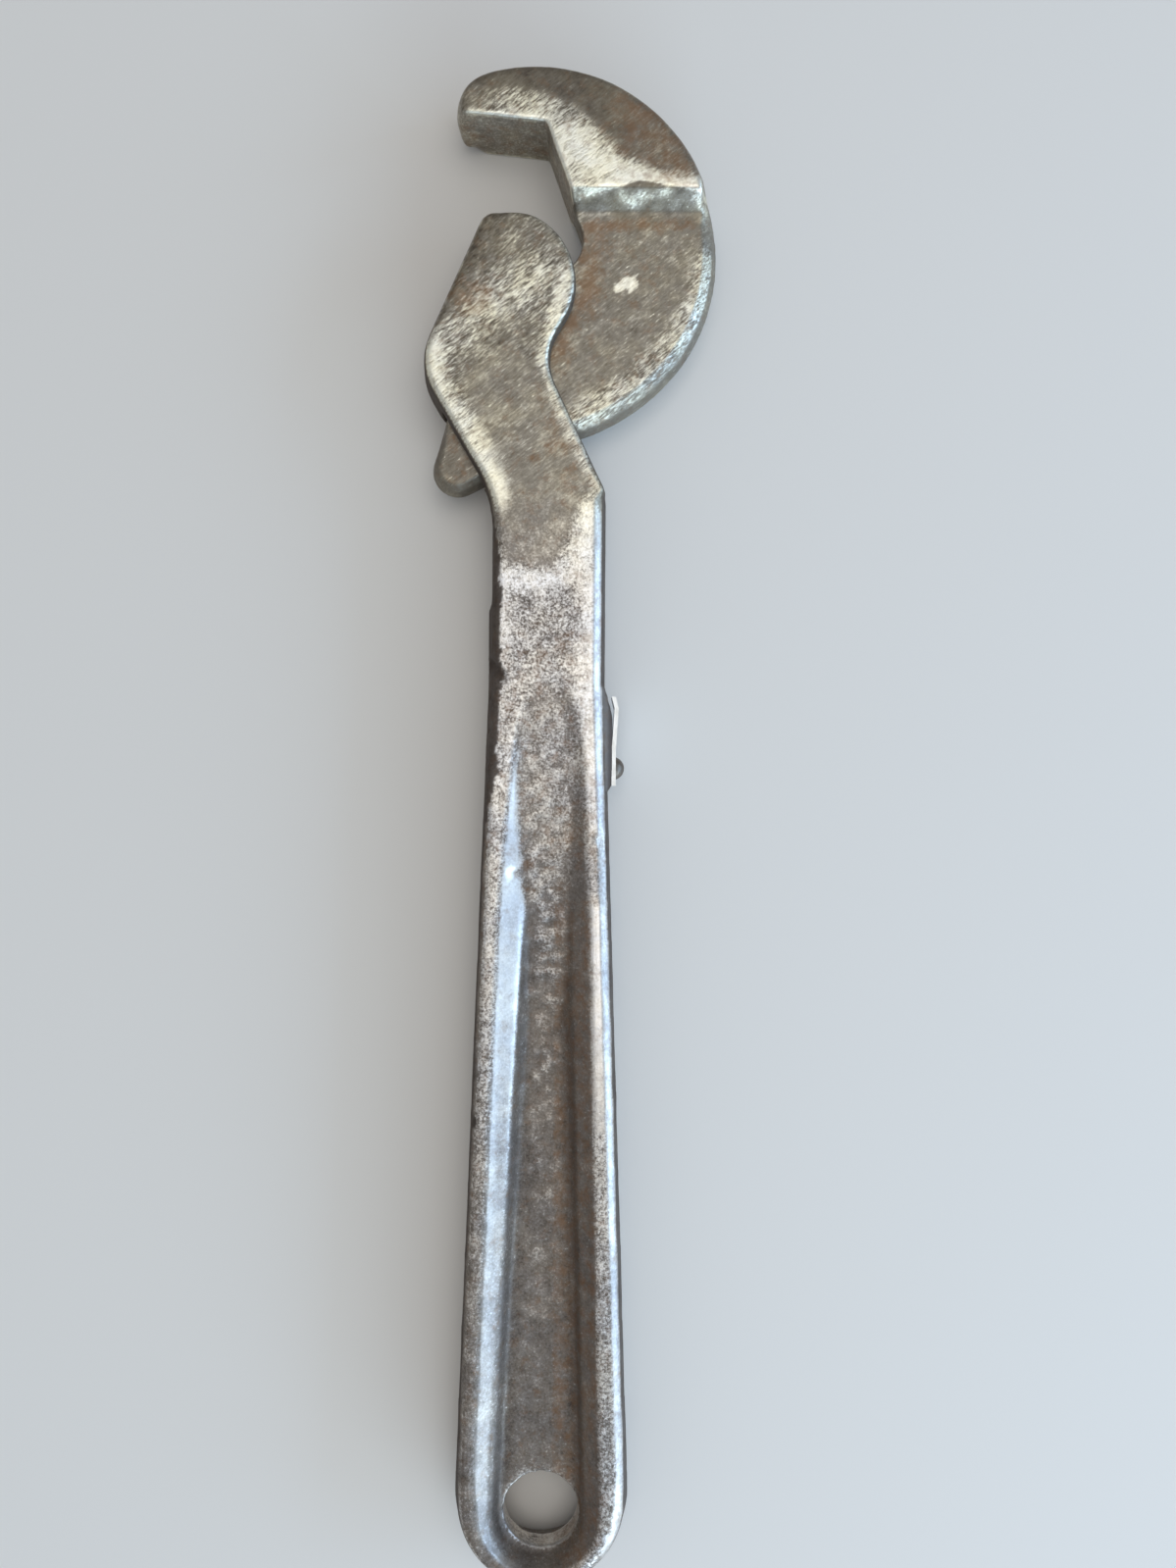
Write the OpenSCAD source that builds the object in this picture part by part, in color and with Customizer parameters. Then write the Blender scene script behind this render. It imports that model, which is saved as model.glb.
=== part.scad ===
// Self-adjusting hook wrench: a forged handle with a forked head, a hook jaw whose flat
// tail slides through the fork, and a leaf spring riveted to a pad on the handle's edge.
// X runs across the handle, Y from the hanging hole to the head, Z through the thickness.
// The origin is the centre of the hanging hole at mid thickness.

/* [Handle] */
// Thickness of the handle and of the hook's jaw, face to face
body_t = 13.2; // [12:0.2:16]
// Diameter of the hanging hole
hole_d = 12.7; // [9:0.1:14]
// Width of the round handle end at the parting line
end_w = 29.9; // [28:0.1:34]
// Distance from the hanging hole back to the centre of the round handle end
end_shift = 2.7; // [2:0.1:5]
// Width of the neck at the parting line
neck_w = 20.2; // [19:0.1:22]
// Distance from the hanging hole to where the handle stops narrowing
neck_start = 141; // [130:1:150]
// Sideways distance of the neck's middle from the hanging hole
neck_x = 0.1; // [0:0.05:0.6]
// Distance from the hanging hole to the centre of the round nose
head_y = 209; // [200:1:225]
// Draft of a forged side, from the parting line to the face
draft = 1.1; // [0.4:0.1:1.4]
// Width of the bevel along the grip's right edges
grip_edge = 2; // [1:0.1:2.2]

/* [Handle recess] */
// Width of each rib, from the parting line to the edge of the recess
rib_w = 4; // [3.6:0.1:4.6]
// Extra width of the ribs beside the hanging hole
end_rib = 0.5; // [0:0.1:1]
// Distance from the hanging hole to the end of the recess, at the handle's face
recess_low = 8.7; // [7.6:0.1:9]
// Thickness of the web between the two recesses
web_t = 3.6; // [2.6:0.1:6]
// Width of the slope along each long side of the recess
slope_w = 3.4; // [2.6:0.1:4]
// Depth of that slope
slope_h = 2.4; // [1.6:0.1:3]
// Width of the slope beside the hanging hole
end_slope = 2.6; // [1.6:0.1:3]
// Width of the steep wall between the slope and the floor
foot_w = 1.6; // [0.8:0.1:2]
// Sideways distance of the recess from the hanging hole, at the hole
recess_x = -0.35; // [-0.6:0.05:0.6]
// Lean of the recess to the right, in degrees
recess_lean = 0.5; // [0:0.1:1]
// Distance from the hanging hole to the head end of the full-depth floor
floor_end = 84; // [75:1:95]
// Distance from the hanging hole to the head end of the steep walls
wall_end = 108; // [100:1:115]
// Distance from the hanging hole to where the recess fades out
recess_end = 143; // [138:1:150]

/* [Fork] */
// Radius of the round nose
nose_r = 12.2; // [11.4:0.1:12.6]
// Direction in which the hook slides, from the X axis, in degrees
slide_angle = 50; // [48:0.5:52]
// Length of the slot that the tail slides in, measured across the slide
slot_w = 27.4; // [26:0.1:29]
// Gap between the tail and each cheek of the fork
side_gap = 0.25; // [0.15:0.05:0.4]
// Gap between the tail's guiding edge and the fork
guide_gap = 0.3; // [0.2:0.05:0.5]
// Travel of the hook from rest towards the nose, until the jaw is closed
close_travel = 5.5; // [4:0.5:6]

/* [Hook jaw] */
// Radius of the hook's round back
hook_r = 31; // [30:0.1:32]
// Radius of the hook's tip
tip_r = 6.6; // [5.6:0.1:7.4]
// Radius of the flatter heel of the hook
heel_r = 37.1; // [36:0.1:39]
// Thickness of the tail plate
tail_t = 6.4; // [5:0.1:7]
// Length of the ramp between the thick jaw and the tail plate
ramp_l = 2.6; // [1.5:0.1:4]
// Width of the bevel along the rim of the tail plate
rim_bevel = 2.6; // [1.5:0.1:3]
// Radius of the thumb knob at the tail's end
knob_r = 4.4; // [3.8:0.1:5]
// Radius in the corner between the jaw's back face and the guiding edge
notch_r = 5.4; // [4:0.1:6]
// Width of the rounding along the hook jaw's outer edges
jaw_edge = 1.6; // [0.6:0.1:2]

/* [Leaf spring] */
// Thickness of the leaf spring
leaf_t = 0.7; // [0.5:0.1:1]
// Width of the leaf spring
leaf_w = 6; // [4:0.5:6.5]
// Length of the leaf spring
leaf_l = 15.2; // [12:0.2:20]
// Distance from the hanging hole to the spring's rivet
rivet_y = 127.2; // [120:0.2:132]
// Diameter of the rivet's shank
rivet_d = 2.4; // [1.6:0.1:3]
// Diameter of the rivet's domed head
rivet_head_d = 3.9; // [3.6:0.1:4.6]
// Height of the rivet's domed head
rivet_head_h = 1.5; // [0.8:0.1:1.8]
// Length of the rivet inside the handle
rivet_depth = 6; // [4:0.5:7]
// Height of the spring pad above the handle's side
pad_h = 0.7; // [0.5:0.1:2]

/* [Hidden] */
$fn = 48;

// Largest gap between a rounded outline and its straight segments
arc_error = 0.02;

half_t = body_t / 2;
tail_h = tail_t / 2;
slot_h = tail_h + side_gap;
rivet_fit = 0.03;

// Direction of the slide, and the direction across it, away from the tail
slide = [cos(slide_angle), sin(slide_angle)];
across = [-sin(slide_angle), cos(slide_angle)];

// Centres and corners of the head, all placed from the nose's centre
nose = [-7.4, head_y];
head_l = 35.6;
shoulder = [neck_x + neck_w / 2, nose.y - head_l];
throat = nose + [6.7, -12.6];
throat_r = 9;
nose_tip = nose + [-3.6, 12.5];
cheek_corner = nose + [-15.3, -13.9];
cheek_r = 11;
neck_bend = [neck_x - neck_w / 2, nose.y - head_l];
neck_right = [neck_x + neck_w / 2, neck_start];
neck_left = [neck_x - neck_w / 2, neck_start];
neck_r = 20;

// Hook: centre of the round back, jaw corner and lines of the jaw and the tail
hook_c = nose + [5.4, 5.85];
tip_angle = 105.5;
tip_c = hook_c + (hook_r - tip_r) * [cos(tip_angle), sin(tip_angle)];
heel_angle = -43.8;
heel_c = hook_c - (heel_r - hook_r) * [cos(heel_angle), sin(heel_angle)];
heel_end = -72;
jaw_corner = nose + [7.1, 26.5];
back_face = [cos(-70.3), sin(-70.3)];
tip_face_end = [tip_c.x - tip_r + 0.5, tip_c.y - 1.35];
knob_c = nose + [-8, -30.7];
knob_angle = 162;
knob_low = -58;
ramp_foot = nose.y + 13;

// The guiding edge of the tail lies on this line, and the fork's guide beside it
guide_drop = 6;
guide_p = nose - across * guide_drop;
guide_wall = guide_p + across * guide_gap;

// Draft and edge rounding of the forged sides, and of those that were machined square
grip = [draft, 0.5 * grip_edge];
grip_right = [0.8 * draft, grip_edge];
head_side = [0.5 * draft, 0.6];
square_side = [0, 0.3];

// Bevel along the tail's rim and edge rounding of the thick jaw, along the hook's outline
rim = [rim_bevel, 0];
back = [0, jaw_edge];
jaw_side = [0, 0.3];
guide_side = [0.3, 0];
knob_side = [1.5, 0];

function unit(v) = v / norm(v);

// Where the line through p along u meets the line through q along v
function meet(p, u, q, v) =
    let (k = cross(q - p, v) / cross(u, v)) p + k * u;

// Points on the circle of radius r about c, from angle a to angle b
function arc(c, r, a, b) =
    let (n = max(2, ceil(abs(b - a) / (2 * acos(1 - arc_error / r)))))
    [for (i = [0:n]) let (t = a + (b - a) * i / n) c + r * [cos(t), sin(t)]];

// Points of the arc of radius r that rounds the corner q between p and s
function fillet(p, q, s, r) =
    let (u = unit(p - q), v = unit(s - q), half = acos(u * v) / 2,
         c = q + unit(u + v) * r / sin(half),
         f = q + u * r / tan(half) - c, g = q + v * r / tan(half) - c,
         a = atan2(f.y, f.x), b = atan2(g.y, g.x),
         turn = b - a > 180 ? b - a - 360 : (b - a < -180 ? b - a + 360 : b - a))
    arc(c, r, a, a + turn);

// Gives each point of an outline its draft and edge rounding, from the first point to the last
function shaped(points, from, to) =
    let (n = max(1, len(points) - 1))
    [for (i = [0:len(points) - 1]) let (k = from + (to - from) * i / n)
        [points[i].x, points[i].y, k.x, k.y]];
function even(points, k) = shaped(points, k, k);

// Outward direction at point i of a closed outline that runs anticlockwise
function outward(o, i) =
    let (n = len(o), p = o[(i + n - 1) % n], q = o[i], s = o[(i + 1) % n],
         u = unit([q.x - p.x, q.y - p.y]), v = unit([s.x - q.x, s.y - q.y]), m = unit(u + v))
    [m.y, -m.x];

// One closed ring of a forged form: the outline drawn in by its draft and edge rounding
function ring(o, z, f, g) =
    [for (i = [0:len(o) - 1]) let (w = outward(o, i), k = o[i][2] * f + o[i][3] * g)
        [o[i].x - w.x * k, o[i].y - w.y * k, z]];

// A solid through a stack of rings, each [height, share of draft, share of edge rounding].
// The stack is taller than the forging, and both faces are cut flat.
module forged(o, levels) {
    n = len(o);
    m = len(levels);
    rings = [for (l = levels) each ring(o, l[0], l[1], l[2])];
    sides = [for (j = [0:m - 2], i = [0:n - 1]) let (k = (i + 1) % n)
        each [[j * n + i, j * n + n + i, j * n + n + k], [j * n + i, j * n + n + k, j * n + k]]];
    caps = [[for (i = [0:n - 1]) i], [for (i = [n - 1:-1:0]) (m - 1) * n + i]];
    intersection() {
        polyhedron(rings, concat(caps, sides));
        cube([4 * head_y, 4 * head_y, body_t], center = true);
    }
}

// Levels from the lower face to the upper one, mirrored about mid thickness
function both_ways(up) = concat([for (i = [len(up) - 1:-1:1]) [-up[i][0], up[i][1], up[i][2]]], up);

// Depth of the bevel on the handle's edges, and its levels
bevel_h = 1.6;
handle_levels = both_ways([[0, 0, 0], [half_t - bevel_h, 1, 0], [half_t - 0.6 * bevel_h, 1, 0.3],
    [half_t - 0.1 * bevel_h, 1, 0.88], [half_t + 0.1 * bevel_h, 1, 1.12]]);

handle_outline = concat(
    even(arc([0, end_shift], end_w / 2, 180, 270), grip),
    shaped(arc([0, end_shift], end_w / 2, 276, 360), grip, grip_right),
    even([neck_right], grip_right),
    shaped(fillet(neck_right, shoulder, throat, 2.5), grip_right, square_side),
    even(fillet(shoulder, throat, nose + nose_r * [cos(-33), sin(-33)], throat_r), square_side),
    even(arc(nose, nose_r, -33, 58), square_side),
    shaped(arc(nose, nose_r, 65, 94), square_side, head_side),
    even(fillet(nose + [0, nose_r], nose_tip, cheek_corner, 3.4), head_side),
    even(fillet(nose_tip, cheek_corner, neck_bend, cheek_r), head_side),
    shaped(fillet(cheek_corner, neck_bend, neck_left, neck_r), head_side, grip),
    even([neck_left], grip));

// Half width of the handle at distance y from the hanging hole, and its middle there
function half_width(y) = end_w / 2 - (end_w - neck_w) / 2 * (y - end_shift) / (neck_start - end_shift);
function middle(y) = neck_x * (y - end_shift) / (neck_start - end_shift);

// One level of the recess, drawn in by end_inset round its end and by inset at distance y
module recess_level(z, end_inset, low, inset, y, top) {
    round_r = end_w / 2 - rib_w - end_rib - end_inset;
    wide = half_width(y) - rib_w - inset;
    translate([0, 0, z])
        linear_extrude(0.01)
            polygon(concat(arc([0, round_r - low], round_r, 180, 360), [[wide, y]], top, [[-wide, y]]));
}

// Recess: a slope along the ribs, a steep wall at its foot and the floor, fading out to the neck
module recess() {
    floor_low = hole_d / 2 + 0.45;
    wall_low = (floor_low + recess_low) / 2;
    mouth_y = recess_end - 7;
    mouth_x = half_width(mouth_y) - rib_w - 0.7;
    translate([recess_x, 0, 0])
        rotate([0, 0, -recess_lean]) {
            hull() {
                recess_level(half_t, 0, recess_low, 0, wall_end,
                    [[mouth_x, mouth_y], [0.5 * mouth_x, recess_end],
                     [-0.5 * mouth_x, recess_end], [-mouth_x, mouth_y]]);
                recess_level(half_t - slope_h, end_slope, wall_low, slope_w, wall_end, []);
            }
            hull() {
                recess_level(half_t - slope_h, end_slope, wall_low, slope_w, wall_end, []);
                recess_level(web_t / 2, end_slope + 1, floor_low, slope_w + foot_w, floor_end, []);
            }
        }
}

// Slot of the fork: the band that the tail slides in, open on both sides of the neck
slot_reach = 2 * hook_r;
back_stop = jaw_corner - slide * close_travel - [-back_face.y, back_face.x] * guide_gap;
slot_corner = meet(guide_wall, slide, back_stop, back_face);
module fork_slot() {
    linear_extrude(2 * slot_h, center = true)
        polygon(concat(
            [slot_corner - slide * slot_reach, slot_corner - slide * slot_reach - across * slot_w,
             slot_corner + slide * slot_reach - across * slot_w],
            [slot_corner + slide * slot_reach, slot_corner - back_face * slot_reach],
            fillet(slot_corner - back_face * slot_reach, slot_corner,
                slot_corner - slide * slot_reach, notch_r + guide_gap)));
}

// Pad on the handle's edge that carries the leaf spring
side_x = middle(rivet_y) + half_width(rivet_y);
pad_x = side_x + pad_h;
leaf_low = rivet_y - 3;
pad_flat = 12;
module spring_pad() {
    foot = 2;
    runout = 5;
    hull() {
        translate([side_x - 2, leaf_low - foot, -4])
            cube([1.2, foot + pad_flat + runout, 8]);
        translate([pad_x - 1, leaf_low, -leaf_w / 2])
            cube([1, pad_flat, leaf_w]);
    }
}

module rivet_bore(clearance, reach) {
    translate([pad_x - rivet_depth, rivet_y, 0])
        rotate([0, 90, 0])
            cylinder(d = rivet_d + 2 * clearance, h = rivet_depth + reach);
}

module handle() {
    color([0.36, 0.33, 0.3])
        difference() {
            union() {
                forged(handle_outline, handle_levels);
                spring_pad();
            }
            recess();
            mirror([0, 0, 1]) recess();
            fork_slot();
            cylinder(d = hole_d, h = body_t, center = true);
            rivet_bore(rivet_fit, 5);
        }
}

// Outline of the hook: round back, heel, tail with thumb knob, guiding edge and jaw faces
guide_low = meet(guide_p, slide, knob_c + knob_r * [cos(knob_angle), sin(knob_angle)],
    [-sin(knob_angle), cos(knob_angle)]);
notch = meet(guide_p, slide, jaw_corner, back_face);
knob_top = knob_c + knob_r * [cos(knob_angle), sin(knob_angle)];
hook_outline = concat(
    even([tip_face_end, jaw_corner], jaw_side),
    shaped(fillet(jaw_corner, notch, guide_low, notch_r), jaw_side, guide_side),
    even(fillet(notch, guide_low, knob_top, 8), guide_side),
    even(arc(knob_c, knob_r, knob_angle, 360 + knob_low), knob_side),
    even(arc(heel_c, heel_r, heel_end, heel_angle), rim),
    even(arc(hook_c, hook_r, heel_angle + 5, 5), rim),
    shaped(arc(hook_c, hook_r, 10, 22), rim, back),
    even(arc(hook_c, hook_r, 28, tip_angle), back),
    shaped(arc(tip_c, tip_r, tip_angle + 12, 176), back, 0.6 * back));

// Levels of the hook: the bevel ends a little above the tail plate, then the jaw goes on square
bevel_top = 1.17;
hook_levels = both_ways([[0, 0, 0], [0.62 * tail_h, 0.34, 0.05], [1.1 * tail_h, bevel_top, 0.15],
    [half_t - 1.1, bevel_top, 0.38], [half_t - 0.5, bevel_top, 0.55],
    [half_t - 0.12, bevel_top, 0.82], [half_t + 0.12, bevel_top, 1.18]]);

// What is taken off one face to leave the tail plate, with a ramp up to the thick jaw
module tail_relief() {
    far = 2 * hook_r;
    above = half_t + 1;
    rotate([90, 0, 90])
        linear_extrude(3 * far, center = true)
            polygon([[nose.y - far, tail_h], [ramp_foot, tail_h],
                [ramp_foot + ramp_l * (above - tail_h) / (half_t - tail_h), above],
                [nose.y - far, above]]);
}

module hook_jaw() {
    color([0.42, 0.39, 0.35])
        difference() {
            forged(hook_outline, hook_levels);
            tail_relief();
            mirror([0, 0, 1]) tail_relief();
        }
}

// Leaf spring: flat on its pad at the rivet, standing off it further up, its tip bent back
module leaf_spring() {
    seat_l = 6;
    rise = 0.45;
    tip_l = 2;
    tip_bend = 0.5;
    inner = [[pad_x, leaf_low], [pad_x, leaf_low + seat_l],
        [pad_x + rise, leaf_low + leaf_l - tip_l],
        [pad_x + rise - tip_bend, leaf_low + leaf_l]];
    color([0.62, 0.6, 0.58])
        difference() {
            translate([0, 0, -leaf_w / 2])
                linear_extrude(leaf_w)
                    polygon(concat(inner, [for (i = [3:-1:0]) inner[i] + [leaf_t, 0]]));
            rivet_bore(rivet_fit, 5);
        }
}

module spring_rivet() {
    head_x = pad_x + leaf_t;
    dome_r = (rivet_head_h * rivet_head_h + rivet_head_d * rivet_head_d / 4) / (2 * rivet_head_h);
    color([0.5, 0.47, 0.44])
        union() {
            rivet_bore(0, leaf_t + 0.3);
            translate([head_x, rivet_y, 0])
                rotate([0, 90, 0])
                    intersection() {
                        cylinder(d = rivet_head_d, h = rivet_head_h);
                        translate([0, 0, rivet_head_h - dome_r])
                            sphere(r = dome_r);
                    }
        }
}

handle();
hook_jaw();
leaf_spring();
spring_rivet();
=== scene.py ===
"""An old self-adjusting pipe wrench in forged steel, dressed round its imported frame."""

import math

import bmesh
import bpy
import numpy as np
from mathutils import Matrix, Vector, noise


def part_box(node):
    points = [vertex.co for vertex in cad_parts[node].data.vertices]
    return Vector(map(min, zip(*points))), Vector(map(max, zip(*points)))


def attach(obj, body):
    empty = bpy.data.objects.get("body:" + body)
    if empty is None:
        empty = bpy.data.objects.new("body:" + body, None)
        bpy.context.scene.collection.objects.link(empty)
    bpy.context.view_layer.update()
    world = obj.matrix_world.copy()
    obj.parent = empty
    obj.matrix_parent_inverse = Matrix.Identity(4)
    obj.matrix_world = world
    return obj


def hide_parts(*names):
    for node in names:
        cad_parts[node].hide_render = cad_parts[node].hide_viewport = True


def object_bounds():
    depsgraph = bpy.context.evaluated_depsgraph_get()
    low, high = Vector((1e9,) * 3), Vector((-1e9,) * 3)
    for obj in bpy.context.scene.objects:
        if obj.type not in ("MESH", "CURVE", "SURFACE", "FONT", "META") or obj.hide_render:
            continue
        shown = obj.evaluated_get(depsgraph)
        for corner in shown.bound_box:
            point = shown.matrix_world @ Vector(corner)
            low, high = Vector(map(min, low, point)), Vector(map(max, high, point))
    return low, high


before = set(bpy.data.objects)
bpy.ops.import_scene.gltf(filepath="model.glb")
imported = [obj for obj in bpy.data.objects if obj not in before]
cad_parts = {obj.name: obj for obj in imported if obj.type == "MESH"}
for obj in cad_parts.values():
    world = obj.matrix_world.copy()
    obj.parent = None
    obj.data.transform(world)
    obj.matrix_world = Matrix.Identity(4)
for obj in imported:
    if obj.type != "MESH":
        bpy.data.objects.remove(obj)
CAD_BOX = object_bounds()
MM = 0.001

# Height of the flat faces above the tool's mid-plane, in millimetres
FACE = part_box("handle")[1][2] / MM

# Where the leaf spring's inner side lies along X, in millimetres
LEAF_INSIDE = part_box("leaf_spring")[0][0] / MM


# ---- Small helpers ----------------------------------------------------------------------

def linear(hex_colour, alpha=1.0):
    """An sRGB hex colour as linear RGBA."""
    channels = [int(hex_colour[i:i + 2], 16) / 255 for i in (1, 3, 5)]
    return [c / 12.92 if c <= 0.04045 else ((c + 0.055) / 1.055) ** 2.4 for c in channels] + [alpha]


def add(tree, kind, settings=None, inputs=None):
    """Adds a node: settings are its own properties, inputs are values or the sockets to link."""
    node = tree.nodes.new(kind)
    for name, value in (settings or {}).items():
        setattr(node, name, value)
    for key, value in (inputs or {}).items():
        if isinstance(value, bpy.types.NodeSocket):
            tree.links.new(value, node.inputs[key])
        else:
            node.inputs[key].default_value = value
    return node


def smooth_step(low, high, values):
    """0 below low and 1 above high, with a soft curve between them."""
    t = np.clip((values - low) / (high - low), 0, 1)
    return t * t * (3 - 2 * t)


# ---- Shape: remeshed forgings with the marks of the hammer and of use -----------------------

def corners(mesh):
    """The mesh's corner positions in millimetres."""
    flat = np.empty(3 * len(mesh.vertices), dtype=np.float32)
    mesh.vertices.foreach_get("co", flat)
    return flat.reshape(-1, 3).astype(np.float64) / MM


def directions(mesh):
    """The way that the surface faces at each corner."""
    flat = np.empty(3 * len(mesh.vertices), dtype=np.float32)
    mesh.vertex_normals.foreach_get("vector", flat)
    return flat.reshape(-1, 3).astype(np.float64)


def move_corners(mesh, points):
    """Puts the mesh's corners at the given points, in millimetres."""
    mesh.vertices.foreach_set("co", (points * MM).astype(np.float32).ravel())
    mesh.update()


def relaxed(mesh, points, rounds, pull=0.5):
    """The points, each drawn towards the middle of its neighbours, in so many rounds."""
    pairs = np.empty(2 * len(mesh.edges), dtype=np.int32)
    mesh.edges.foreach_get("vertices", pairs)
    one, other = pairs.reshape(-1, 2).T
    count = len(points)
    near = np.maximum(np.bincount(one, minlength=count) + np.bincount(other, minlength=count), 1)
    points = points.copy()
    for _ in range(rounds):
        for axis in range(3):
            column = points[:, axis]
            total = np.bincount(one, column[other], count) + np.bincount(other, column[one], count)
            points[:, axis] = column + pull * (total / near - column)
    return points


def grain(points, size, seed=0.0):
    """Smooth noise from -1 to 1 with lumps of the given size in millimetres."""
    shift = Vector((seed, 2.7 * seed, -1.3 * seed))
    return np.array([noise.noise(Vector(p) / size + shift) for p in points])


def forging(node, name, voxel):
    """A fine copy of a CAD node: merged, remeshed and worn a little round at its edges."""
    bm = bmesh.new()
    bm.from_mesh(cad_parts[node].data)
    bmesh.ops.remove_doubles(bm, verts=bm.verts, dist=0.001 * MM)
    mesh = bpy.data.meshes.new(name)
    bm.to_mesh(mesh)
    bm.free()
    piece = bpy.data.objects.new(name, mesh)
    bpy.context.collection.objects.link(piece)
    remesh = piece.modifiers.new("remesh", "REMESH")
    remesh.mode = "VOXEL"
    remesh.voxel_size = voxel * MM
    remesh.use_smooth_shade = True
    bpy.context.view_layer.update()
    fine = bpy.data.meshes.new_from_object(piece.evaluated_get(bpy.context.evaluated_depsgraph_get()))
    piece.modifiers.clear()
    piece.data = fine
    fine.name = name
    bpy.data.meshes.remove(mesh)
    move_corners(fine, relaxed(fine, corners(fine), 3))
    return piece


def near_path(points, path, radius):
    """1 on a path drawn in the XY plane, falling softly to 0 at the given radius, in millimetres."""
    spots = np.array(path, dtype=float)
    best = np.full(len(points), np.inf)
    for a, b in zip(spots, spots[1:] if len(spots) > 1 else spots):
        along = b - a
        share = np.clip((points[:, :2] - a) @ along / max(along @ along, 1e-9), 0, 1)
        best = np.minimum(best, np.linalg.norm(points[:, :2] - a - share[:, None] * along, axis=1))
    return 1 - smooth_step(0, radius, best)


def inside(points, outline, soft):
    """1 inside an outline drawn in the XY plane and 0 outside it, with an edge that wide."""
    corner = np.array(outline, dtype=float)
    x, y = points[:, 0], points[:, 1]
    hit = np.zeros(len(points), dtype=bool)
    nearest = np.full(len(points), np.inf)
    for a, b in zip(corner, np.roll(corner, -1, axis=0)):
        run, rise = b - a
        crosses = (a[1] > y) != (b[1] > y)
        hit ^= crosses & (x < a[0] + (y - a[1]) * run / (rise if rise != 0 else 1e-9))
        share = np.clip(((x - a[0]) * run + (y - a[1]) * rise) / ((b - a) @ (b - a)), 0, 1)
        nearest = np.minimum(nearest, np.hypot(x - a[0] - share * run, y - a[1] - share * rise))
    return smooth_step(-soft / 2, soft / 2, np.where(hit, nearest, -nearest))


def store(mesh, name, values):
    """Keeps one number per corner, from 0 to 1, for a material to read."""
    layer = mesh.attributes.new(name, "FLOAT", "POINT")
    layer.data.foreach_set("value", np.clip(values, 0, 1).astype(np.float32))


# ---- Materials --------------------------------------------------------------------------

# How far the file's marks lean from the X direction
FILE_ANGLE = math.radians(38)

# Sizes of the scale's grains, in millimetres
GRIT = 0.42


def palette(tree, value, stops):
    """A colour that follows a number through the given (place, sRGB hex) stops."""
    ramp = add(tree, "ShaderNodeValToRGB", None, {"Fac": value})
    while len(ramp.color_ramp.elements) < len(stops):
        ramp.color_ramp.elements.new(1.0)
    for element, (place, colour) in zip(ramp.color_ramp.elements, stops):
        element.position = place
        element.color = linear(colour)
    return ramp.outputs["Color"]


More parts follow.
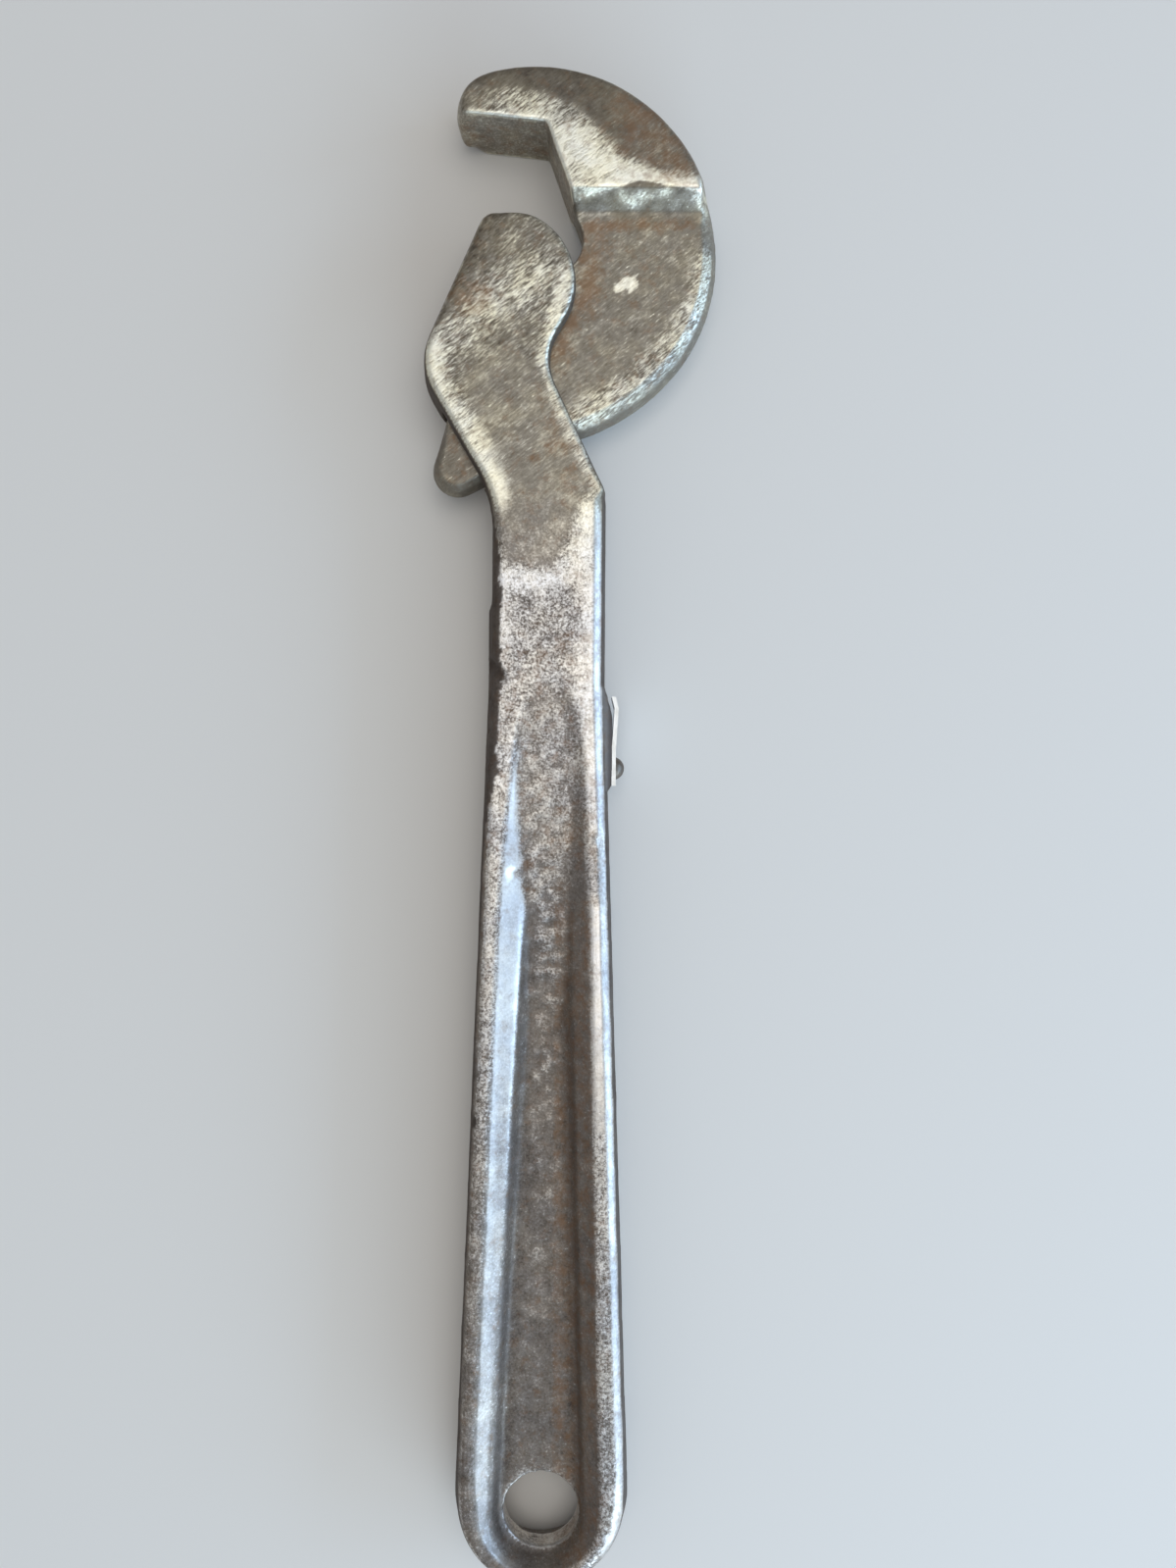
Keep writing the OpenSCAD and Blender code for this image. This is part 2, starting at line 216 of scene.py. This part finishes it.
def steel(name, tones, grit_mm, smooth_to, streaked_from):
    """Forged steel: an oxide skin worn bright where hands and pipes rubbed it, with rust and grime, and
    painted light and shade.

    Four numbers kept on the mesh say how bright the steel is rubbed, with painted light and shade on top, how
    smooth it is, how much rust it holds, and how much dirt and painted shade darken it. tones are the colours
    from deep skin to bare metal.
    grit_mm is the size of the grains, which are round up to smooth_to along Y and drawn out into
    slanting file marks from streaked_from, both in millimetres.
    """
    made = bpy.data.materials.new(name)
    made.use_nodes = True
    tree = made.node_tree
    tree.nodes.clear()
    place = add(tree, "ShaderNodeTexCoord").outputs["Object"]
    in_mm = add(tree, "ShaderNodeMapping", {"vector_type": "POINT"},
                {"Vector": place, "Scale": (1 / MM, 1 / MM, 1 / MM)}).outputs["Vector"]
    slanted = add(tree, "ShaderNodeMapping", {"vector_type": "TEXTURE"},
                  {"Vector": in_mm, "Rotation": (0, 0, FILE_ANGLE),
                   "Scale": (3.2, 0.75, 1)}).outputs["Vector"]
    along = add(tree, "ShaderNodeSeparateXYZ", None, {"Vector": in_mm}).outputs["Y"]
    # The wear number also carries painted light, and the grime number painted shade
    wear_and_painted_light, calm, rusty, grime_and_painted_shade = (add(tree, "ShaderNodeAttribute", {"attribute_name": mark}).outputs["Fac"]
                                for mark in ("wear_and_painted_light", "calm", "rust", "grime_and_painted_shade"))

    def number(kind, a, b):
        return add(tree, "ShaderNodeMath", {"operation": kind}, {0: a, 1: b}).outputs[0]

    def between(value, low, high, to_low=0.0, to_high=1.0):
        return add(tree, "ShaderNodeMapRange", None, {"Value": value, "From Min": low, "From Max": high,
                                                      "To Min": to_low, "To Max": to_high}).outputs["Result"]

    def lumps(vector, size, detail, roughness):
        return add(tree, "ShaderNodeTexNoise", None, {"Vector": vector, "Scale": 1 / size, "Detail": detail,
                                                      "Roughness": roughness}).outputs["Fac"]

    def mixed(share, low, high, kind="RGBA", blend="MIX"):
        first = 6 if kind == "RGBA" else 2
        return add(tree, "ShaderNodeMix", {"data_type": kind, "blend_type": blend},
                   {0: share, first: low, first + 1: high}).outputs[2 if kind == "RGBA" else 0]

    # Grains of scale: round on the handle, drawn out by the file on the head
    drawn = between(along, smooth_to, streaked_from)
    fine = mixed(drawn, lumps(in_mm, grit_mm, 3.0, 0.75), lumps(slanted, grit_mm, 3.0, 0.75), "FLOAT")
    coarse = mixed(drawn, lumps(in_mm, 3 * grit_mm, 3.0, 0.6), lumps(slanted, 3 * grit_mm, 3.0, 0.6), "FLOAT")
    both = mixed(0.22, fine, coarse, "FLOAT")
    ragged = lumps(in_mm, 2.2, 4.0, 0.7)
    patches = lumps(in_mm, 7.0, 4.0, 0.6)

    # Where the skin is worn the grains stand out, and where it is rubbed smooth they fade
    rough_share = between(calm, 0.0, 1.0, 1.0, 0.12)
    force = number("MULTIPLY", between(wear_and_painted_light, 0.3, 0.46, 1.1, 2.8), rough_share)
    grains = number("MULTIPLY", number("SUBTRACT", both, 0.5), force)
    flakes = number("MULTIPLY", number("SUBTRACT", ragged, 0.5), between(calm, 0.0, 1.0, 0.65, 0.25))
    specks = between(fine, 0.66, 0.74, 0.0, 0.35)
    level = number("ADD", number("ADD", number("ADD", wear_and_painted_light, grains), specks),
                   number("ADD", flakes, between(patches, 0.3, 0.7, -0.07, 0.07)))
    steel_colour = palette(tree, level, tones)
    upper = between(along, streaked_from - 22, streaked_from - 4)
    cool = mixed(upper, linear("#f2f4ff"), linear("#f8faf8"))
    warm = mixed(upper, linear("#f8f6f9"), linear("#fdfcf0"))
    tinted = mixed(between(patches, 0.4, 0.6), cool, warm)
    steel_colour = mixed(1.0, steel_colour, tinted, blend="MULTIPLY")

    # Rust, and dirt with painted shade, darkening the steel where the marks say
    flecks = lumps(in_mm, 2.0, 5.0, 0.7)
    rust_here = between(number("ADD", number("MULTIPLY", rusty, 0.4), flecks), 0.62, 0.86, 0.0, 0.6)
    rusted = mixed(rust_here, steel_colour, linear("#84603f"))
    colour = mixed(between(grime_and_painted_shade, 0.0, 1.0, 0.0, 0.9), rusted, linear("#3c3029"))

    metal = number("MULTIPLY", between(level, 0.2, 0.8, 0.6, 0.92), between(grime_and_painted_shade, 0.0, 1.0, 1.0, 0.45))
    worn_rough = number("ADD", between(level, 0.2, 0.9, 0.5, 0.36), between(flecks, 0.3, 0.7, -0.06, 0.06))
    dirt_rough = number("SUBTRACT", between(grime_and_painted_shade, 0.0, 1.0, 0.0, 0.3), between(calm, 0.0, 1.0, 0.0, 0.05))
    rough = number("ADD", worn_rough, dirt_rough)
    bump = add(tree, "ShaderNodeBump", None,
               {"Height": both, "Strength": number("MULTIPLY", rough_share, 0.7),
                "Distance": 0.16 * MM}).outputs["Normal"]
    shader = add(tree, "ShaderNodeBsdfPrincipled", None,
                 {"Base Color": colour, "Metallic": metal, "Roughness": rough, "Normal": bump})
    add(tree, "ShaderNodeOutputMaterial", None, {"Surface": shader.outputs["BSDF"]})
    return made


def plain_metal(name, dark, light, metallic, roughness, grain_mm):
    """A small steel part: fine rolling marks along it, between a dark and a light tone."""
    made = bpy.data.materials.new(name)
    made.use_nodes = True
    tree = made.node_tree
    tree.nodes.clear()
    place = add(tree, "ShaderNodeTexCoord").outputs["Object"]
    marks = add(tree, "ShaderNodeMapping", {"vector_type": "POINT"},
                {"Vector": place, "Scale": (1 / MM, 0.2 / MM, 1 / MM)}).outputs["Vector"]
    grains = add(tree, "ShaderNodeTexNoise", None,
                 {"Vector": marks, "Scale": 1 / grain_mm, "Detail": 4.0, "Roughness": 0.7}).outputs["Fac"]
    tint = add(tree, "ShaderNodeMapRange", None,
               {"Value": grains, "From Min": 0.3, "From Max": 0.7}).outputs["Result"]
    colours = add(tree, "ShaderNodeMix", {"data_type": "RGBA"},
                  {0: tint, 6: linear(dark), 7: linear(light)}).outputs[2]
    bump = add(tree, "ShaderNodeBump", None,
               {"Height": grains, "Strength": 0.4, "Distance": 0.03 * MM}).outputs["Normal"]
    shader = add(tree, "ShaderNodeBsdfPrincipled", None,
                 {"Base Color": colours, "Metallic": metallic, "Roughness": roughness, "Normal": bump})
    add(tree, "ShaderNodeOutputMaterial", None, {"Surface": shader.outputs["BSDF"]})
    return made


# ---- The handle -------------------------------------------------------------------------

def half_width(y):
    """Half width of the handle at its face, narrowing from the round end to the neck."""
    return np.interp(y, [4, 141], [13.3, 8.4])


# A long shallow gouge in the right rib
GOUGE = [(8.8, 114.6), (9.1, 105.6)]

# The recess's round end: where its centre lies along Y, and its radius, in millimetres
ROUND_END_Y = 2.7
ROUND_END_R = 11.7

# Dents and nicks in the upper face: path, radius and depth, in millimetres
DENTS = [
    (GOUGE, 1.9, 0.22),
    ([(9.2, 114.8)], 1.2, 0.2),
    ([(-11.4, 67.6)], 1.2, 0.6),
    ([(-9.4, 144.8), (-7.4, 142.4)], 1.3, 0.9),
    ([(-9.6, 139.2)], 1.0, 0.5),
    ([(-9.5, 133.5)], 1.0, 0.4),
    ([(-9.8, 128.2)], 1.0, 0.4),
    ([(-4.6, 109.5)], 1.3, 0.25),
    ([(-12.6, 8.0)], 1.3, 0.25),
    ([(11.6, -2.0)], 1.2, 0.25),
    ([(-11.6, 42.5)], 1.4, 0.25),
    ([(-12.2, 27.0), (-11.8, 22.0)], 1.3, 0.25),
]


def left_edge_of_recess(y):
    """Where the left rib ends and the recess's slope begins, on the face."""
    return np.interp(y, [0, 108, 136], [-10.9, -6.7, -4.8])


def in_recess(points):
    """1 inside the mouth of the recess of either face, below the face, and 0 elsewhere."""
    x, y, z = points.T
    left = left_edge_of_recess(y) - 1
    right = np.interp(y, [0, 108, 136], [10.2, 8.0, 6.5])
    round_end = (y > ROUND_END_Y) | (np.hypot(x, y - ROUND_END_Y) < ROUND_END_R)
    return ((x > left) & (x < right) & round_end & (y < 143)) * smooth_step(0.1, 0.5, FACE - np.abs(z))


def handle_marks(mesh, points, out):
    """How far the hammer, the file and knocks moved the surface, in millimetres."""
    x, y, z = points.T
    upper = z > 0
    height = 0.07 * grain(points, 9, 1.0) + 0.035 * grain(points, 2.6, 2.0)
    height *= 0.25 + 0.75 * (1 - smooth_step(141, 168, y))

    # The recess's floor was left as the die made it, lumpy and pitted with scale
    aside = np.abs(x - np.interp(y, [0, 136], [-0.35, 0.85]))
    floor_edge = np.interp(y, [0, 108, 138], [6.4, 3.2, 5.0])
    floor = in_recess(points) * (1 - smooth_step(floor_edge - 0.6, floor_edge + 0.4, aside))
    rough = np.interp(y, [8, 30, 70, 95, 120, 138], [0.15, 0.3, 0.6, 1, 0.8, 0])
    height += floor * rough * (0.22 * grain(points, 1.5, 3.0) + 0.25 * grain(points, 4.2, 9.0))

    for path, radius, depth in DENTS:
        height -= upper * depth * near_path(points, path, radius)
    moved = height[:, None] * out

    # Near its faces the left wall stands out a little further, and its rib is narrower
    high = smooth_step(1.0, 4.5, np.abs(z))
    step = x - left_edge_of_recess(y)
    rib_width = half_width(y) + left_edge_of_recess(y)
    at_wall = np.interp(y, [118, 140], [0.45, 0])
    at_rib = np.interp(y, [0, 90, 105, 118, 130, 138], [0.9, 0.95, 0.9, 0.8, 0.3, 0])
    on_slope = at_rib * np.clip(1 - step / 3.6, 0, 1)
    on_rib = at_rib + (at_wall - at_rib) * np.clip(-step / rib_width, 0, 1)
    moved[:, 0] -= high * (x < 0) * (y > 0) * smooth_step(0, 8, y) * np.where(step > 0, on_slope, on_rib)

    # The right edge is rubbed round by hands
    rubbed = smooth_step(half_width(y) - 2.9, half_width(y) - 1.9, x) * high * smooth_step(0, 10, y) \
        * (1 - smooth_step(170, 178, y))
    full = rubbed * smooth_step(0.2, 0.5, out[:, 0]) * smooth_step(0.3, 0.5, np.abs(out[:, 2]))
    moved[:, 0] += 0.25 * rubbed
    return moved + 0.22 * full[:, None] * out + rubbed[:, None] * (relaxed(mesh, points, 9) - points)


def near_ring(points, radius, width):
    """1 on a circle about the hanging hole, falling softly to 0 on both sides of it."""
    return 1 - smooth_step(0, width, np.abs(np.hypot(points[:, 0], points[:, 1]) - radius))


def paint_handle_wear_and_light(mesh):
    """Paints where the handle is rubbed bright, smooth, rusty and dirty, and where it gets painted light and
    shade.
    """
    points, out = corners(mesh), directions(mesh)
    x, y, z = points.T
    ridge = ((points - relaxed(mesh, points, 24)) * out).sum(axis=1)
    up = np.abs(out[:, 2])
    edge = smooth_step(0.05, 0.3, ridge)
    hollow = smooth_step(0.05, 0.4, -ridge)
    # Painted light and shade on the lumps: lighter on their tops, darker in their dips
    lump_shading = np.clip(ridge / 0.08, -1, 1)
    face = smooth_step(0.6, 0.9, up) * smooth_step(FACE - 1.0, FACE - 0.4, np.abs(z))
    recess = in_recess(points)
    floor = recess * smooth_step(0.86, 0.97, up)
    slope = recess * (1 - smooth_step(0.86, 0.97, up))
    depth = FACE - np.abs(z)
    # Painted light: recess slopes facing +X near the face are painted lighter, and those facing away get
    # painted shade
    bright_to = np.interp(y, [0, 110], [1.5, 2.5])
    lit = smooth_step(-0.1, 0.4, out[:, 0]) * (1 - smooth_step(bright_to, bright_to + 0.5, depth))

    # The two ribs: bright above, dull near the handle's end
    left_rib = np.interp(y, [-10, 20, 60, 85, 125], [0.16, 0.18, 0.26, 0.44, 0.52])
    right_rib = np.interp(y, [-10, 50, 62, 75, 85, 100, 112, 118, 128],
                          [0.3, 0.36, 0.44, 0.68, 0.8, 0.78, 0.64, 0.62, 0.72])
    rib = np.where(x < 0, left_rib, right_rib)
    neck_right = near_path(points, [(9, 177), (9.2, 160), (8.6, 140), (8.6, 112)], 5)
    neck_left = near_path(points, [(-7.2, 157), (-7.2, 147)], 3)
    neck = 0.5 + 0.25 * neck_right + 0.12 * neck_left
    patch = inside(points, [(-14, 193), (-6, 199), (-2.5, 195), (2.5, 186), (7, 176), (4.4, 168),
                            (1.6, 160.5), (-6.6, 161.5), (-8, 168), (-8, 175), (-12, 184)], 2)
    cream = near_path(points, [(-6.5, 159), (0, 158), (6, 162), (8, 170)], 6.5)
    band = near_path(points, [(-1, 209.5), (-4, 207.5), (-9, 206), (-14, 202), (-20, 197)], 6.5)
    left_edge = near_path(points, [(-20, 198), (-19, 191), (-14.5, 184.5), (-9.6, 176), (-9, 173)], 4.4)
    nose_left = near_path(points, [(-8, 224), (-9.6, 220.3), (-16, 208.1), (-19, 201)], 5.5)
    right_edge = near_path(points, [(3.5, 210), (1, 200), (0, 195), (3.2, 187), (9, 175)], 2.4)
    head = 0.34 + 0.2 * band + 0.5 * left_edge + 0.4 * right_edge - 0.16 * nose_left
    top = rib + (neck - rib) * smooth_step(112, 132, y)
    top = top + (head - top) * smooth_step(160, 174, y)
    top = np.maximum(top, 0.82 * cream) + 0.12 * lump_shading * (y < 160)
    top = top + (0.37 + 0.5 * left_edge + 0.4 * right_edge - top) * patch
    wear_and_painted_light = face * top + (1 - face) * (0.22 + 0.3 * edge)
    bevel = (x > half_width(y) - 3) * smooth_step(0.4, 0.55, up) * smooth_step(0.2, 0.5, out[:, 0]) \
        * (1 - smooth_step(168, 176, y)) * (recess < 0.5)
    wear_and_painted_light += (np.interp(y, [60, 110, 140], [0.52, 0.49, 0.56]) - wear_and_painted_light) * bevel
    shoulder = smooth_step(0.2, 0.5, out[:, 0]) * smooth_step(0.3, 0.5, up) * (x > 7) * (y > 165) * (y < 184)
    wear_and_painted_light -= 0.3 * shoulder * smooth_step(168, 176, y)
    uneven = grain(points, 1.6, 14.0)
    gouge = near_path(points, GOUGE, 2.3) * (z > 0) * (1 - recess) + 0.12 * uneven
    inner = smooth_step(0.25, 0.5, gouge)
    brim = smooth_step(0.08, 0.25, gouge) * (1 - smooth_step(0.3, 0.5, gouge))
    wear_and_painted_light += 0.85 * inner * (0.45 - wear_and_painted_light) - 0.3 * brim * (1 - bevel) * np.clip(0.6 + uneven, 0, 1)
    # The recess floor's tone along it; its slopes get painted shade, and painted light where they face +X
    deep = floor * np.interp(y, [0, 84, 108, 128, 143], [0.26, 0.34, 0.44, 0.5, 0.52])
    in_shade = np.interp(y, [105, 125, 140], [0.3, 0.4, 0.5])
    in_light = np.interp(y, [20, 60, 88, 120], [0.43, 0.48, 0.64, 0.7])
    deep += floor * 0.1 * lump_shading + slope * (in_shade + lit * (in_light - in_shade))
    wear_and_painted_light += (deep - wear_and_painted_light) * recess
    burr = near_ring(points, 6.45, 0.35) * (depth > 3)
    wear_and_painted_light = np.maximum(wear_and_painted_light, 0.9 * burr)

    # Painted shade on the outer walls, darkest on those facing -X and in a ragged band along the left edge,
    # on the leaf spring's pad and behind the leaf
    wall_edge = np.interp(y, [118, 126, 140, 143, 146, 160, 168], [-9.4, -8.0, -7.7, -6.9, -7.4, -7.5, -8.4])
    wall_shade = (1 - smooth_step(0.35, 0.55, up)) * (recess < 0.5) * (x ** 2 + y ** 2 > 90) \
        * np.interp(out[:, 0], [-0.4, 0.2], [1, 0.75])
    ragged = 0.6 * grain(points, 2.8, 4.0) + 0.5 * grain(points, 1.2, 6.0)
    ragged_wall_shade = (x < wall_edge + ragged) * (y > 118) * (y < 168)
    wall_shade = np.maximum(wall_shade, 0.85 * ragged_wall_shade)
    pad_shade = (x > half_width(y) + 1.3) * (y > 120) * (y < 145)
    shade_behind_leaf = pad_shade * smooth_step(LEAF_INSIDE - 1.0, LEAF_INSIDE - 0.2, x)
    wall_shade = np.clip(wall_shade * (0.92 + 0.2 * grain(points, 3.5, 15.0)), 0, 1)
    wear_and_painted_light = wear_and_painted_light * (1 - 0.7 * np.maximum(wall_shade, 0.6 * pad_shade))

    store(mesh, "wear_and_painted_light", wear_and_painted_light)
    handled = face * smooth_step(half_width(y) - 5, half_width(y) - 3.5, x) * (y > 66) * (y < 172) \
        * (0.15 + 0.4 * (1 - smooth_step(106, 118, y)))
    store(mesh, "calm", np.maximum.reduce([slope * (0.4 + 0.55 * lit), 0.95 * bevel, 0.6 * patch,
                                           0.5 * inner, 0.5 * wall_shade, 0.25 * floor, handled]))
    rusty = 0.2 + 0.5 * near_path(points, [(-14, 205), (-11, 207)], 5) \
        + 0.25 * near_path(points, [(1, 182), (4, 176)], 8)
    rusty += 0.3 * recess * (x > 2) * (y < 105) + 0.12 * (y > 110) * (y < 150)
    store(mesh, "rust", rusty)
    # Dirt in hollows and on the recess floor, with painted shade on the slopes facing away, on the pad and
    # behind the leaf
    dirt_and_shade = 0.3 * recess * hollow + 0.08 * floor + 0.05 * slope * (1 - lit) + 0.15 * hollow \
        + 0.45 * pad_shade + 0.5 * shade_behind_leaf
    store(mesh, "grime_and_painted_shade", np.maximum(0.95 * wall_shade, dirt_and_shade))


# ---- The hook jaw -----------------------------------------------------------------------

# How far the tip bulges, and how far its lower edge is knocked back, in millimetres
TIP_BULGE = 0.8
TIP_ROUND_OFF = 2.0


def hook_marks(mesh, points, out):
    """How far the forge and knocks moved the surface, in millimetres."""
    x, y, z = points.T
    thick = smooth_step(219, 224, y)
    height = thick * (0.06 * grain(points, 8, 5.0) + 0.03 * grain(points, 2.4, 6.0))
    height += (1 - thick) * 0.02 * grain(points, 3, 7.0)

    # The tip bulges between its two edges, and its lower edge is knocked round
    tip = (1 - smooth_step(-15.5, -11, x)) * (y > 228)
    round_off = 1 - smooth_step(-FACE, -0.35 * FACE, z)
    height += tip * (TIP_BULGE * (1 - (z / FACE) ** 2) - TIP_ROUND_OFF * round_off ** 2)
    return height[:, None] * out


def paint_hook_wear_and_light(mesh):
    """Paints where the hook is rubbed bright, smooth, rusty and dirty, and where it gets painted highlights
    and shade.
    """
    points, out = corners(mesh), directions(mesh)
    x, y, z = points.T
    ridge = ((points - relaxed(mesh, points, 30)) * out).sum(axis=1)
    edge = smooth_step(0.05, 0.3, ridge)
    flat = smooth_step(0.6, 0.9, np.abs(out[:, 2]))
    crown = inside(points, [(-16, 241), (-7, 241.5), (0, 240), (4.7, 238), (8.5, 235), (12.4, 230.5),
                            (17.3, 227.2), (25, 226.6), (32, 226), (32, 250), (-18, 250)], 2.5)
    thick = smooth_step(221.5, 223, y)
    ramp = inside(points, [(4, 222.9), (9.3, 223.8), (15.5, 225.8), (22, 224.8), (29, 223.2),
                           (29, 221.3), (4, 221.3)], 0.8)
    ramp *= np.abs(z) > 2
    # A painted highlight along the ramp's top edge
    crest_highlight = near_path(points, [(7, 224.2), (15.5, 226.4), (22, 225.4), (29, 223.9)], 1.2)
    vee = near_path(points, [(-8, 236.6), (-0.5, 236.2), (2.6, 228), (5.2, 222)], 3.5)
    middle = near_path(points, [(4, 233), (7.5, 229), (12.5, 227), (26, 225)], 4)
    rim = near_path(points, [(27.2, 214), (26.0, 208), (22.2, 201), (15.4, 193.2), (5.4, 187)], 3.6)
    # A painted highlight along the V's edges
    v_edge_highlight = near_path(points, [(-13, 236.8), (-0.4, 235.8), (4.6, 222)], 1.0)
    spot = near_path(points, [(12.6, 209.3), (14.3, 210.3)], 2.3)
    spot = smooth_step(0.35, 0.75, spot + 0.6 * grain(points, 0.9, 11.0))
    ground = 0.3 + 0.2 * smooth_step(-13, -3, x) + 0.16 * vee + 0.52 * middle
    skin = 0.19 + 0.16 * smooth_step(6, 18, x)
    plate = 0.35 + 0.2 * rim + 0.45 * spot
    wear_and_painted_light = flat * (thick * (1 - crown) * ground + skin * crown * thick + (1 - thick) * plate)
    wear_and_painted_light += (1 - flat) * (0.34 + 0.04 * thick)
    wear_and_painted_light += 0.2 * edge * (1 - crown) * smooth_step(-14, -11, x)
    wear_and_painted_light += 0.5 * v_edge_highlight * edge * thick + 0.3 * crest_highlight
    wear_and_painted_light += (0.3 + 0.3 * grain(points, 2.6, 8.0) - wear_and_painted_light) * ramp
    store(mesh, "wear_and_painted_light", wear_and_painted_light)
    store(mesh, "calm", np.maximum.reduce([0.5 * crown * thick, 0.6 * (1 - flat) * thick, 0.6 * ramp,
                                           0.85 * (1 - flat) * (1 - thick),
                                           0.6 * (1 - thick) * (1 - rim), 0.6 * crest_highlight]))
    upright = 1 - smooth_step(0.2, 0.6, np.abs(out[:, 2]))
    rusty = 0.24 + 0.5 * near_path(points, [(15, 237), (18, 232), (22, 228)], 8) \
        + 0.5 * near_path(points, [(7.5, 217), (6.5, 208), (3.5, 204), (1, 198)], 4.5) \
        + 0.5 * near_path(points, [(7, 219.6), (24, 220.2)], 2) \
        + 0.12 * near_path(points, [(-14, 236.6), (-1, 235.6), (4, 223)], 3) * upright
    store(mesh, "rust", rusty * (1 - ramp))
    hollow = smooth_step(0.05, 0.4, -ridge)
    # Painted shade on the tail's upright outer walls facing +X
    flank_shade = (np.abs(out[:, 2]) < 0.35) * (out[:, 0] > 0) * (1 - thick)
    bevelled = (1 - flat) * (1 - thick) * (1 - flank_shade) * (1 + 1.9 * (1 - smooth_step(192, 202, y)))
    store(mesh, "grime_and_painted_shade", 0.4 * hollow + 0.2 * crown * flat + 0.45 * flank_shade + 0.13 * bevelled)


# ---- The tool put together --------------------------------------------------------------

def dress(node, name, voxel, marks, painter, material):
    """Replaces a CAD node with its worn and painted forging."""
    piece = forging(node, name, voxel)
    mesh = piece.data
    points = corners(mesh)
    moved = points + marks(mesh, points, directions(mesh))
    low, high = (np.array(corner) / MM for corner in CAD_BOX)
    move_corners(mesh, np.clip(moved, low, high))
    painter(mesh)
    mesh.materials.clear()
    mesh.materials.append(material)
    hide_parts(node)
    return piece


# From deep oxide skin to bare metal
TONES = [(0.0, "#4a4036"), (0.2, "#776e62"), (0.36, "#8f877c"), (0.46, "#ada69b"), (0.58, "#cdc7bb"),
         (0.75, "#e6e2d6"), (1.0, "#f8f6ee")]
forged = steel("forged_steel_oxide_skin", TONES, GRIT, 165, 180)
hook_steel = steel("forged_steel_ground_hook", TONES, GRIT, 0, 100)
handle = dress("handle", "handle_forging", 0.45, handle_marks, paint_handle_wear_and_light, forged)
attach(handle, "handle_body")
hook = dress("hook_jaw", "hook_forging", 0.32, hook_marks, paint_hook_wear_and_light, hook_steel)
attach(hook, "hook_body")

# The leaf spring's near-white tones are a painted highlight, standing in for the light on its narrow edge
spring_highlight = plain_metal("spring_steel_strip", "#d6d4ce", "#fdfdfb", 0.35, 0.35, 0.5)
rivet = plain_metal("rivet_steel", "#5e554c", "#7d7368", 0.85, 0.45, 0.4)
for node, material in (("leaf_spring", spring_highlight), ("spring_rivet", rivet)):
    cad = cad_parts[node]
    cad.data.materials.clear()
    cad.data.materials.append(material)


# ---- The stage --------------------------------------------------------------------------

# The point that the lights are turned to
MIDDLE = (0, 0.13, 0)


def floor():
    """A plain pale sheet just under the tool."""
    bm = bmesh.new()
    bmesh.ops.create_grid(bm, x_segments=1, y_segments=1, size=3.0)
    bmesh.ops.translate(bm, verts=bm.verts, vec=(0, 0, CAD_BOX[0][2] - 0.02 * MM))
    mesh = bpy.data.meshes.new("floor")
    bm.to_mesh(mesh)
    bm.free()
    plane = bpy.data.objects.new("floor", mesh)
    bpy.context.collection.objects.link(plane)
    paper = bpy.data.materials.new("floor_paper")
    paper.use_nodes = True
    shader = paper.node_tree.nodes["Principled BSDF"]
    shader.inputs["Base Color"].default_value = linear("#dedbd6")
    shader.inputs["Roughness"].default_value = 0.9
    mesh.materials.append(paper)


def area_light(name, place, size, power, colour):
    """A soft rectangular light, turned to the tool's middle."""
    lamp = bpy.data.lights.new(name, "AREA")
    lamp.shape = "RECTANGLE"
    lamp.size, lamp.size_y = size
    lamp.energy = power
    lamp.color = colour
    thing = bpy.data.objects.new(name, lamp)
    thing.location = place
    thing.rotation_euler = (Vector(MIDDLE) - Vector(place)).to_track_quat("-Z", "Y").to_euler()
    bpy.context.collection.objects.link(thing)


floor()
area_light("ceiling", (0.1, 0.25, 0.95), (0.7, 0.8), 2.5, (1.0, 0.97, 0.92))
area_light("window", (0.85, 0.06, 0.22), (0.85, 0.42), 6.0, (0.41, 0.64, 0.95))
area_light("door", (0.4, -0.6, 0.24), (0.8, 0.44), 6.0, (0.6, 0.8, 1.0))
world = bpy.data.worlds.new("studio")
world.use_nodes = True
sky = world.node_tree.nodes["Background"]
sky.inputs["Color"].default_value = (0.95, 0.97, 1.0, 1)
sky.inputs["Strength"].default_value = 0.42
bpy.context.scene.world = world

# Camera: straight above the middle of the tool, as near as a hand holds it
camera = bpy.data.cameras.new("camera")
camera.lens = 27.0
camera.sensor_width = 36
eye = bpy.data.objects.new("camera", camera)
eye.location = (0.00736, 0.12449, 0.2036)
eye.rotation_euler = (0, 0, math.radians(0.346))
bpy.context.collection.objects.link(eye)
bpy.context.scene.camera = eye
bpy.context.scene.view_settings.view_transform = "Standard"
